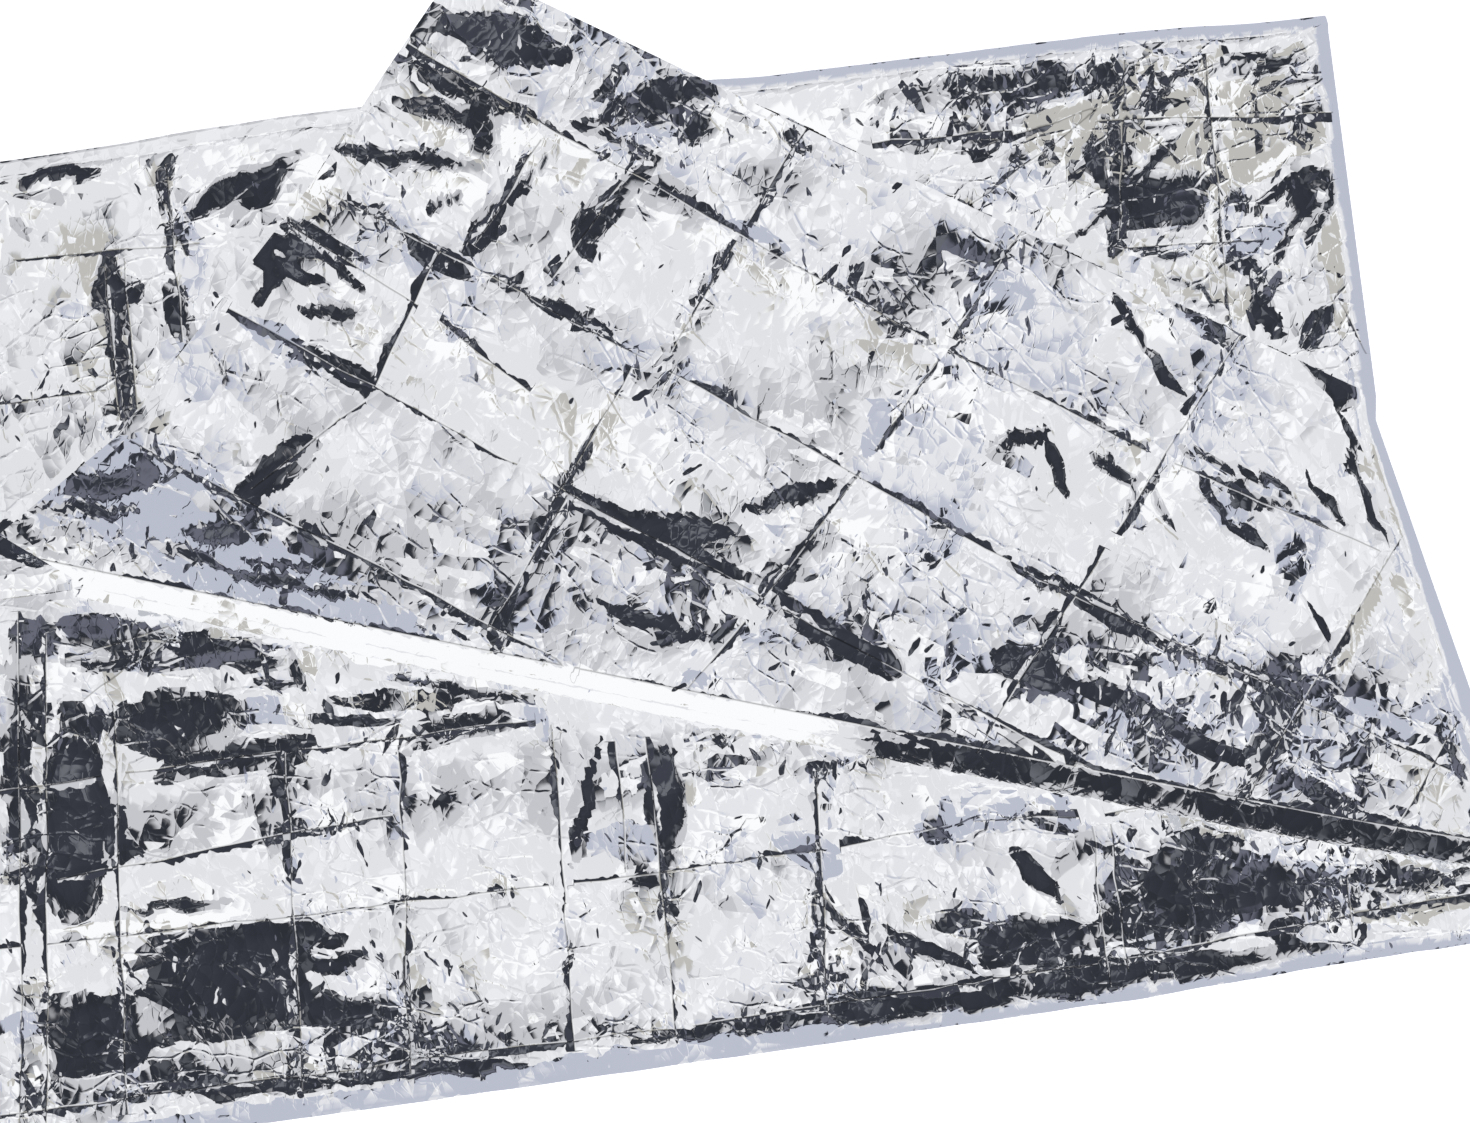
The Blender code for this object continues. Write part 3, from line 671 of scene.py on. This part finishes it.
def bendMarks(marks, layer, planX, planY):  # smooth bends: bright, then dark, and pale rims
    along, past = slantFrame(planX, planY)
    slant, edge = layer == 1, np.abs(past) - tube["band"]
    band = slant | ((layer == 2) & (edge < tube["bandShare"] * tube["band"]))
    signed = np.where(slant, -tube["band"], edge)
    closer = band & (np.abs(signed) < np.abs(marks["longAway"]))
    marks["longAway"] = np.where(closer, signed, marks["longAway"])
    marks["longNear"] = np.where(closer, np.abs(signed), marks["longNear"])
    fromFold = np.where(np.isin(layer, (0, 3)), topY - planY, farAway)
    fromFold = np.where(np.isin(layer, (4, 5)), topY + planY, fromFold)
    fromEdge = np.minimum(fromFold, np.where(layer < 4, endX(planY) - planX - ends["inset"] / 2, farAway))
    rim = ease(tube["rimShare"] - fromEdge / tube["rimWidth"])
    near = ease(1.5 - fromEdge / tube["edgeSoft"])
    topLeft = (planY > 0.0) * ease((tube["leftX"] - planX) / tube["fade"])
    smooth = np.where(slant, 1.0, np.where(layer == 2, ease(0.5 - edge / tube["edgeSoft"]), 0.0))
    dark = ease((along - tube["brightEnd"]) / tube["fade"])
    for axis, name in enumerate(("leanX", "leanY")):
        pale = leanOf("rim", axis) * (1.0 - topLeft) + leanOf("topLeft", axis) * topLeft
        marks[name] += rim * (pale - marks[name])
        bent = leanOf("bright", axis) * (1.0 - dark) + leanOf("dark", axis) * dark
        marks[name] += smooth * (bent - marks[name])
    calm = tube["crumpled"] + smooth * dark * (tube["darkCrumpled"] - tube["crumpled"])
    marks["crumpled"] += np.maximum(rim, smooth) * (calm - marks["crumpled"])
    return tube["upright"] + (1.0 - tube["upright"]) * np.maximum(near, smooth)


def layPly(bm, ply):  # folds a flat ply, puts on its relief and keeps the flat place as its UV
    flat = np.array([v.co[:2] for v in bm.verts])
    x, y = flat[:, 0], flat[:, 1]
    place, facing, layer = foldFilm(x, y)
    if ply == 1:
        facing = -facing
    planX, planY = place[0], place[1]
    seen = isSeen(x, y, ply, film["seenMargin"]).astype(float)
    relief = np.zeros_like(x)
    marks = {name: np.full_like(x, value) for name, value in markDefaults.items()}
    for name, codes in (("upper", (0, 3)), ("flap", (2,)), ("lower", (4, 5))):
        on = np.isin(layer, codes)
        relief[on], found = fineRelief(name, x[on], y[on], planX[on], planY[on])
        for mark in found:
            marks[mark][on] = found[mark]
    on = layer == 1
    relief[on] = crumple["tube"] * crumpleRelief(x[on], y[on], np.full(on.sum(), tube["creaseAway"]))
    upright = bendMarks(marks, layer, planX, planY)
    fromTube = np.abs(slantFrame(planX, planY)[1])
    share = np.where(layer == 2, ease(fromTube / film["calmNear"]), 1.0)
    lift = np.where(layer == 4, film["panelLift"], film["lift"])
    lift = np.where(np.isin(layer, (3, 5)), 0.0, lift)
    rise = film["plyGap"] + seen * share * (lift + relief)
    nearEnd = ease((endX(planY) - planX) / ends["roll"])
    nearEnd = film["endShare"] + (1.0 - film["endShare"]) * nearEnd
    rise *= np.where(np.isin(layer, (0, 1, 2)), nearEnd, 1.0)
    place = place + facing * rise
    place[2] = np.maximum(place[2], film["leastZ"])
    narrowed = 1.0 - ends["taper"] * place[0] / (film["length"] / 2)
    place[1] = drawnIn(place[0], place[1], layer == 2) * narrowed

    uv = bm.loops.layers.uv.new("flat")
    layers = {name: bm.verts.layers.float.new(name) for name in marks}
    for v, px, py, pz, fx, fy, *values in zip(bm.verts, *place, x, y, *marks.values()):
        v.co = Vector((px, py, pz)) * mm
        for name, value in zip(layers, values):
            v[layers[name]] = value
        for loop in v.link_loops:
            loop[uv].uv = (fx * mm, fy * mm)
    bm.normal_update()
    for v, share in zip(bm.verts, upright):  # the lean also takes back part of the film's own slope
        way = v.normal if v.normal.z > 0.0 else -v.normal
        v[layers["leanX"]] = v[layers["leanX"]] * way.z - share * way.x
        v[layers["leanY"]] = v[layers["leanY"]] * way.z - share * way.y


def joinedPlies():
    mesh = bpy.data.meshes.new("foilBlanket")
    whole = bmesh.new()
    for ply in (0, 1):
        bm = flatPly(ply)
        layPly(bm, ply)
        if ply == 1:
            bmesh.ops.reverse_faces(bm, faces=bm.faces)
        part = bpy.data.meshes.new("ply")
        bm.to_mesh(part)
        bm.free()
        whole.from_mesh(part)
        bpy.data.meshes.remove(part)
    print("film faces", len(whole.faces))
    for f in whole.faces:
        f.smooth = True
    whole.to_mesh(mesh)
    whole.free()
    return mesh


def nodeTools(tree):  # short ways to put maths, vector, scaling and range nodes into a tree
    nodes, links = tree.nodes, tree.links

    def fed(made, inlets, values):  # feeds a node with links or constants
        for inlet, value in zip(inlets, values):
            if isinstance(value, bpy.types.NodeSocket):
                links.new(value, made.inputs[inlet])
            else:
                made.inputs[inlet].default_value = value
        return made.outputs[0]

    def maths(operation, *values):
        made = nodes.new("ShaderNodeMath")
        made.operation = operation
        return fed(made, range(3), values)

    def vector(operation, *values):
        made = nodes.new("ShaderNodeVectorMath")
        made.operation = operation
        return fed(made, range(3), values)

    def scaled(value, amount):
        made = nodes.new("ShaderNodeVectorMath")
        made.operation = "SCALE"
        return fed(made, (0, "Scale"), (value, amount))

    def mapped(value, start, stop, low=0.0, high=1.0, smooth=False):
        made = nodes.new("ShaderNodeMapRange")
        if smooth:
            made.interpolation_type = "SMOOTHSTEP"
        inlets = ("Value", "From Min", "From Max", "To Min", "To Max")
        return fed(made, inlets, (value, start, stop, low, high))

    return maths, vector, scaled, mapped


def filmGroup():  # crumpled facets as a leaning normal, fine wrinkles as a height, a haze mask, and the distance to the nearest crease for a painted shade line
    group = bpy.data.node_groups.new("filmCrumple", "ShaderNodeTree")
    for way, kind, names in (
            ("INPUT", "Vector", ("place", "lean")),
            ("INPUT", "Float", ("crumpled", "longAway", "crossAway", "longNear", "crossNear")),
            ("OUTPUT", "Vector", ("normal",)),
            ("OUTPUT", "Float", ("height", "haze", "line"))):
        for name in names:
            group.interface.new_socket(name=name, in_out=way, socket_type="NodeSocket" + kind)
    nodes, links = group.nodes, group.links
    maths, vector, scaled, mapped = nodeTools(group)
    inlet, outlet = nodes.new("NodeGroupInput"), nodes.new("NodeGroupOutput")

    def noiseAt(place, size, detail, output="Fac"):
        noise = nodes.new("ShaderNodeTexNoise")
        noise.noise_dimensions = "2D"
        noise.inputs["Scale"].default_value = 1000.0 / size
        noise.inputs["Detail"].default_value = detail
        links.new(place, noise.inputs["Vector"])
        return noise.outputs[output]

    def aimedAt(place, turn, stretch):
        aimed = nodes.new("ShaderNodeMapping")
        aimed.vector_type = "TEXTURE"
        aimed.inputs["Rotation"].default_value = (0.0, 0.0, math.radians(turn))
        aimed.inputs["Scale"].default_value = (stretch, 1.0, 1.0)
        links.new(place, aimed.inputs["Vector"])
        return aimed.outputs["Vector"]

    def cellsAt(place, size, turn, stretch, feature="F1"):
        cells = nodes.new("ShaderNodeTexVoronoi")
        cells.voronoi_dimensions = "2D"
        cells.feature = feature
        cells.inputs["Scale"].default_value = 1000.0 / size
        links.new(aimedAt(place, turn, stretch), cells.inputs["Vector"])
        return cells

    def leaned(lean, tilt, towards, amount):  # adds a lean of so many degrees towards an azimuth
        slope, way = math.tan(math.radians(tilt)), math.radians(towards)
        return vector("ADD", lean, scaled((slope * math.cos(way), slope * math.sin(way), 0.0), amount))

    crumpled, place = inlet.outputs["crumpled"], inlet.outputs["place"]
    for size, reach in filmLook["sway"]:
        shake = vector("SUBTRACT", noiseAt(place, size, 1.0, "Color"), (0.5, 0.5, 0.5))
        place = vector("ADD", place, vector("MULTIPLY", shake, (reach * mm, reach * mm, 0.0)))
    smooth = maths("LESS_THAN", crumpled, filmLook["smoothBelow"])
    steep = nodes.new("ShaderNodeVectorMath")
    steep.operation = "LENGTH"
    links.new(inlet.outputs["lean"], steep.inputs[0])
    steep = steep.outputs["Value"]
    cover = maths("DIVIDE", steep, filmLook["fullLean"])
    shard = None
    for size, turn, stretch, ownShare, nearShare in filmLook["shardCells"]:  # whole cells break off
        cells = cellsAt(place, size, turn, stretch)
        split = nodes.new("ShaderNodeSeparateXYZ")
        links.new(cells.outputs["Color"], split.inputs[0])
        part = maths("MULTIPLY", split.outputs["X"], ownShare)
        near = mapped(noiseAt(cells.outputs["Position"], 3.0, 1.0), *filmLook["shards"])
        part = maths("MULTIPLY_ADD", near, nearShare, part)
        shard = part if shard is None else maths("ADD", shard, part)
    shard = mapped(maths("SUBTRACT", cover, shard), 0.0, filmLook["shardEdge"])
    lift = maths("DIVIDE", filmLook["leastLean"], maths("MAXIMUM", steep, 0.01))
    lift = maths("MULTIPLY", maths("MAXIMUM", lift, 1.0), shard)
    lean = scaled(inlet.outputs["lean"], maths("MAXIMUM", lift, smooth))
    for size, turn, stretch, tilt in filmLook["facets"]:
        cells = cellsAt(place, size, turn, stretch)
        share = vector("SUBTRACT", cells.outputs["Color"], (0.5, 0.5, 0.5))
        fromMiddle = vector("SUBTRACT", aimedAt(place, turn, stretch), cells.outputs["Position"])
        pillow = vector("MULTIPLY", fromMiddle, (filmLook["pillow"] / (size * mm),) * 3)
        slope = 2.0 * math.tan(math.radians(tilt))
        amount = maths("MULTIPLY", maths("MULTIPLY_ADD", crumpled, *filmLook["facetGain"]), slope)
        lean = vector("ADD", lean, scaled(vector("ADD", share, pillow), amount))
    limit = maths("MULTIPLY_ADD", crumpled, -filmLook["sliverSpread"], filmLook["sliverLimit"])
    for size, turn, stretch, tilt, towards in filmLook["slivers"]:
        streak = maths("SUBTRACT", noiseAt(aimedAt(place, turn, stretch), size, 2.0), limit)
        lean = leaned(lean, tilt, towards, mapped(streak, 0.0, filmLook["sliverEdge"]))
    # distance to the nearest crease, from which the painted shade line along creases is drawn
    lines = None
    rough = maths("SUBTRACT", 1.0, smooth)
    for kind in ("long", "cross"):
        away = inlet.outputs[kind + "Away"]
        far = maths("GREATER_THAN", inlet.outputs[kind + "Near"], filmLook["creaseGate"])
        size = maths("MULTIPLY_ADD", far, 100.0, maths("ABSOLUTE", away))
        lines = size if lines is None else maths("MINIMUM", lines, size)
        wide = maths("MULTIPLY_ADD", noiseAt(place, filmLook[kind + "Patch"], 1.0), filmLook["stripWidth"],
                     filmLook["stripLeast"] - 0.45 * filmLook["stripWidth"])
        jagged = maths("SUBTRACT", noiseAt(aimedAt(place, 50.0, 2.0), 5.0, 1.5), 0.5)
        wide = maths("MULTIPLY_ADD", jagged, filmLook["stripJag"], wide)
        inside = mapped(maths("SUBTRACT", wide, size), 0.0, filmLook["stripEdge"])
        side = mapped(away, -0.1, 0.2)
        dark = maths("MULTIPLY", maths("MULTIPLY", inside, side), rough)
        lean = leaned(lean, *filmLook["stripLean"], dark)
        thin = mapped(size, filmLook["glintWidth"], filmLook["glintWidth"] - filmLook["stripEdge"])
        thin = maths("MULTIPLY", maths("MULTIPLY", thin, maths("SUBTRACT", 1.0, side)), rough)
        lean = leaned(lean, *filmLook["glintLean"], thin)
    flatLean = vector("MULTIPLY", lean, (1.0, 1.0, 0.0))
    geometry = nodes.new("ShaderNodeNewGeometry")
    leant = vector("ADD", geometry.outputs["Normal"], flatLean)
    links.new(vector("NORMALIZE", leant), outlet.inputs["normal"])

    wrinkles = None
    for size, turn, share in filmLook["wrinkles"]:
        edge = cellsAt(place, size, turn, 1.8, "DISTANCE_TO_EDGE").outputs["Distance"]
        part = maths("MULTIPLY", maths("MINIMUM", edge, filmLook["groove"]), share * size)
        part = maths("MULTIPLY", part, mapped(noiseAt(place, 3.5 * size, 1.0), 0.45, 0.55))
        wrinkles = part if wrinkles is None else maths("ADD", wrinkles, part)
    links.new(maths("MULTIPLY", wrinkles, crumpled), outlet.inputs["height"])
    links.new(noiseAt(inlet.outputs["place"], *filmLook["haze"]), outlet.inputs["haze"])
    links.new(lines, outlet.inputs["line"])
    return group


filmLook = {
    "colour": (0.95, 0.955, 0.965, 1.0),
    "dullColour": (0.88, 0.89, 0.91, 1.0),
    "roughness": (0.02, 0.055),
    "haze": (110.0, 5.0),   # size and detail of the duller parts
    "sway": ((40.0, 9.0), (6.0, 1.6)),  # (size, reach): how the pattern wanders
    "smoothBelow": 0.3,     # film crumpled less than this has no shards
    "pillow": 0.7,          # how much each facet bulges
    "facetGain": (0.75, 0.2),  # how the facets' tilt follows the crumpling
    "facets": (             # (size in mm, turn, stretch, tilt in degrees)
        (34.0, 20.0, 1.3, 2.6),
        (15.0, 70.0, 1.8, 3.2),
        (7.0, 110.0, 1.8, 2.4),
    ),
    "shards": (0.3, 0.68),  # noise levels between which a leaning pane breaks up
    "shardCells": (         # (size in mm, turn, stretch, share by chance, share by neighbourhood)
        (8.0, -12.0, 3.0, 0.35, 0.4),
        (5.0, 70.0, 2.6, 0.25, 0.0),
    ),
    "shardEdge": 0.03,
    "fullLean": 0.18,       # a lean as steep as this is unbroken
    "leastLean": 0.2,       # and each shard leans at least this much
    "sliverEdge": 0.01,
    "sliverLimit": 0.855,
    "sliverSpread": 0.125,  # how much the crumpling lowers the limit
    "slivers": (            # (size in mm, turn, stretch, tilt, towards)
        (13.0, 80.0, 2.8, 17.0, 105.0),
        (9.0, 115.0, 2.8, 17.0, 125.0),
        (6.0, 55.0, 3.2, 16.0, 85.0),
        (6.0, 95.0, 3.0, 12.0, 18.0),
    ),
    "creaseGate": 8.0,      # millimetres to each side, as for the strip and the glint
    "longPatch": 46.0,      # noise sizes along the long and the cross creases
    "crossPatch": 31.0,
    "stripWidth": 14.0,     # how a crease's dark flank widens with the noise
    "stripEdge": 0.4,
    "stripLeast": 0.8,
    "stripJag": 5.0,
    "stripLean": (17.0, 112.0),
    "glintWidth": 0.9,
    "glintLean": (10.0, -100.0),
    # painted shade: within this many millimetres of a crease the film's colour is darkened, down to the
    # share below at the crease itself
    "creaseShadeWidth": 0.7,
    "creaseShadeTone": 0.45,
    "wrinkles": (           # (size in mm, turn, share)
        (11.0, 15.0, 1.0),
        (5.0, 75.0, 0.6),
    ),
    "groove": 0.09,         # width of a wrinkle, as a share of the cell
    "bump": 0.00012,
}


def silverFilm(crumpling):
    material = bpy.data.materials.new("silverFilm")
    material.use_nodes = True
    nodes, links = material.node_tree.nodes, material.node_tree.links
    scaled, mapped = nodeTools(material.node_tree)[2:]
    shader = nodes["Principled BSDF"]
    shader.inputs["Metallic"].default_value = 1.0
    place = nodes.new("ShaderNodeUVMap")
    place.uv_map = "flat"
    group = nodes.new("ShaderNodeGroup")
    group.node_tree = crumpling
    links.new(place.outputs["UV"], group.inputs["place"])
    lean = nodes.new("ShaderNodeCombineXYZ")
    links.new(lean.outputs[0], group.inputs["lean"])
    for name in markDefaults:
        mark = nodes.new("ShaderNodeAttribute")
        mark.attribute_name = name
        inlet = lean.inputs[name[-1]] if name.startswith("lean") else group.inputs[name]
        links.new(mark.outputs["Fac"], inlet)
    haze = group.outputs["haze"]
    links.new(mapped(haze, 0.3, 0.7, *filmLook["roughness"]), shader.inputs["Roughness"])
    colour = nodes.new("ShaderNodeMix")
    colour.data_type = "RGBA"
    colour.inputs["A"].default_value = filmLook["colour"]
    colour.inputs["B"].default_value = filmLook["dullColour"]
    links.new(haze, colour.inputs["Factor"])
    # painted shade: the film's colour is darkened in a thin line along each crease
    line = mapped(group.outputs["line"], 0.0, filmLook["creaseShadeWidth"], filmLook["creaseShadeTone"], 1.0)
    links.new(scaled(colour.outputs["Result"], line), shader.inputs["Base Color"])
    bump = nodes.new("ShaderNodeBump")
    bump.inputs["Distance"].default_value = filmLook["bump"]
    links.new(group.outputs["height"], bump.inputs["Height"])
    links.new(group.outputs["normal"], bump.inputs["Normal"])
    links.new(bump.outputs["Normal"], shader.inputs["Normal"])
    return material


studio = {
    "zenith": (0.895, 0.90, 0.915),
    "panels": (             # (azimuth, where it starts and where it is full, colour)
        (200.0, 0.03, 0.05, (0.82, 0.825, 0.84)),
        (20.0, 0.04, 0.06, (1.02, 1.025, 1.035)),
        (75.0, 0.08, 0.12, (0.74, 0.745, 0.77)),
        (120.0, 0.14, 0.20, (0.60, 0.605, 0.63)),
        (-40.0, 0.06, 0.09, (0.84, 0.845, 0.87)),
        (170.0, 0.22, 0.30, (0.40, 0.41, 0.43)),
        (-100.0, 0.15, 0.21, (1.05, 1.05, 1.05)),
    ),
    "warm": (0.56, 0.545, 0.51),
    "lavender": (0.54, 0.565, 0.66),
    "dark": (0.028, 0.031, 0.04),
    "darkRim": (0.055, 0.06, 0.078),
    "glints": (             # (azimuth, half width, inner and outer angle from the zenith, colour)
        (92.0, 4.0, 25.0, 32.0, (0.22, 0.23, 0.26)),
        (131.0, 5.0, 23.0, 29.0, (0.13, 0.135, 0.155)),
        (70.0, 13.0, 25.0, 42.0, (0.15, 0.155, 0.2)),
        (150.0, 5.0, 27.0, 40.0, (0.5, 0.5, 0.52)),
        (112.0, 40.0, 44.0, 48.0, (0.16, 0.165, 0.19)),
        (-45.0, 6.0, 28.0, 36.0, (0.3, 0.31, 0.34)),
    ),
    "washes": (             # (azimuth, half width, inner and outer angle, softness, colour's name)
        (15.0, 48.0, 15.0, 60.0, 4.0, "lavender"),
        (207.0, 30.0, 16.0, 60.0, 3.0, "warm"),
    ),
    "flags": (              # (azimuth, half width, inner and outer angle) of the dark parts
        (112.0, 66.0, 20.0, 62.0),
        (-45.0, 30.0, 23.0, 50.0),
    ),
    "flagFade": (20.0, 60.0),
    "bright": (1.1, 1.1, 1.1),
    "brightFrom": (44.0, 58.0),
    "walls": (0.62, 0.63, 0.66),
    "wallsFrom": (60.0, 68.0),
}


def buildRoom():  # soft bright room with dark flags close round the camera
    world = bpy.data.worlds.new("studioRoom")
    bpy.context.scene.world = world
    world.use_nodes = True
    nodes, links = world.node_tree.nodes, world.node_tree.links
    way = nodes.new("ShaderNodeTexCoord")
    split = nodes.new("ShaderNodeSeparateXYZ")
    links.new(way.outputs["Generated"], split.inputs[0])

    maths, mapped = nodeTools(world.node_tree)[::3]

    def stepUp(value, start, stop):
        return mapped(value, start, stop, smooth=True)

    def towards(azimuth):
        x, y = math.cos(math.radians(azimuth)), math.sin(math.radians(azimuth))
        return maths("MULTIPLY_ADD", split.outputs["X"], x, maths("MULTIPLY", split.outputs["Y"], y))

    def mixIn(mask, under, over):
        node = nodes.new("ShaderNodeMix")
        node.data_type = "RGBA"
        links.new(mask, node.inputs["Factor"])
        for name, value in (("A", under), ("B", over)):
            if isinstance(value, tuple):
                node.inputs[name].default_value = (*value, 1.0)
            else:
                links.new(value, node.inputs[name])
        return node.outputs["Result"]

    fromZenith = maths("MULTIPLY", maths("ARCCOSINE", split.outputs["Z"]), 180.0 / math.pi)
    outward = maths("MAXIMUM", maths("SINE", maths("MULTIPLY", fromZenith, math.pi / 180.0)), 0.001)

    def sector(azimuth, halfWidth, inner, outer, soft=1.5):  # a band of the sky round the zenith
        level = maths("DIVIDE", towards(azimuth), outward)
        limit = math.cos(math.radians(halfWidth))
        mask = maths("MULTIPLY", stepUp(level, limit - 0.02, limit + 0.02),
                     stepUp(fromZenith, inner - soft, inner + soft))
        beyond = stepUp(fromZenith, outer - soft, outer + soft)
        return maths("MULTIPLY", mask, maths("SUBTRACT", 1.0, beyond))

    sky = studio["zenith"]
    for azimuth, low, high, colour in studio["panels"]:
        sky = mixIn(stepUp(towards(azimuth), low, high), sky, colour)
    for *place, name in studio["washes"]:
        sky = mixIn(sector(*place), sky, studio[name])
    for name in ("bright", "walls"):
        sky = mixIn(stepUp(fromZenith, *studio[name + "From"]), sky, studio[name])
    gloom = mixIn(stepUp(fromZenith, *studio["flagFade"]), studio["dark"], studio["darkRim"])
    for *place, colour in studio["glints"]:
        gloom = mixIn(sector(*place), gloom, colour)
    for place in studio["flags"]:
        sky = mixIn(sector(*place), sky, gloom)
    background = nodes["Background"]
    links.new(sky, background.inputs["Color"])
    background.inputs["Strength"].default_value = 1.0


table = {"half": 6.0, "colour": (0.9, 0.9, 0.9, 1.0), "roughness": 0.8, "glow": 0.75}


def buildFloor():
    bm = bmesh.new()
    bmesh.ops.create_grid(bm, x_segments=1, y_segments=1, size=table["half"])
    mesh = bpy.data.meshes.new("floor")
    bm.to_mesh(mesh)
    bm.free()
    floor = bpy.data.objects.new("floor", mesh)
    bpy.context.collection.objects.link(floor)
    material = bpy.data.materials.new("whiteTable")
    material.use_nodes = True
    shader = material.node_tree.nodes["Principled BSDF"]
    shader.inputs["Base Color"].default_value = table["colour"]
    shader.inputs["Roughness"].default_value = table["roughness"]
    shader.inputs["Emission Color"].default_value = (1.0, 1.0, 1.0, 1.0)
    shader.inputs["Emission Strength"].default_value = table["glow"]
    mesh.materials.append(material)


view = {"frameWidth": 0.7697, "height": 5.0, "roll": -7.47, "sensor": 36.0, "clipEnd": 50.0}


def buildCamera(centre):
    data = bpy.data.cameras.new("overhead")
    data.sensor_width = view["sensor"]
    data.lens = view["sensor"] * view["height"] / view["frameWidth"]
    data.clip_end = view["clipEnd"]
    camera = bpy.data.objects.new("overhead", data)
    camera.location = (centre[0], centre[1], view["height"])
    camera.rotation_euler = (0.0, 0.0, math.radians(view["roll"]))
    bpy.context.collection.objects.link(camera)
    bpy.context.scene.camera = camera


def buildBlanket():
    mesh = joinedPlies()
    corners = np.array([v.co for v in mesh.vertices])
    middle = (corners.min(axis=0) + corners.max(axis=0)) / 2
    shift = Vector((-middle[0], -middle[1], 0.0))
    mesh.transform(Matrix.Translation(shift))
    blanket = bpy.data.objects.new("foilBlanket", mesh)
    bpy.context.collection.objects.link(blanket)
    mesh.materials.append(silverFilm(filmGroup()))
    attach(blanket, "root")
    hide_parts("foil_blanket")
    return shift


bpy.context.scene.view_settings.view_transform = "Standard"
shift = buildBlanket()
print("blanket made")
buildRoom()
buildFloor()
buildCamera(shift)
print("studio made")
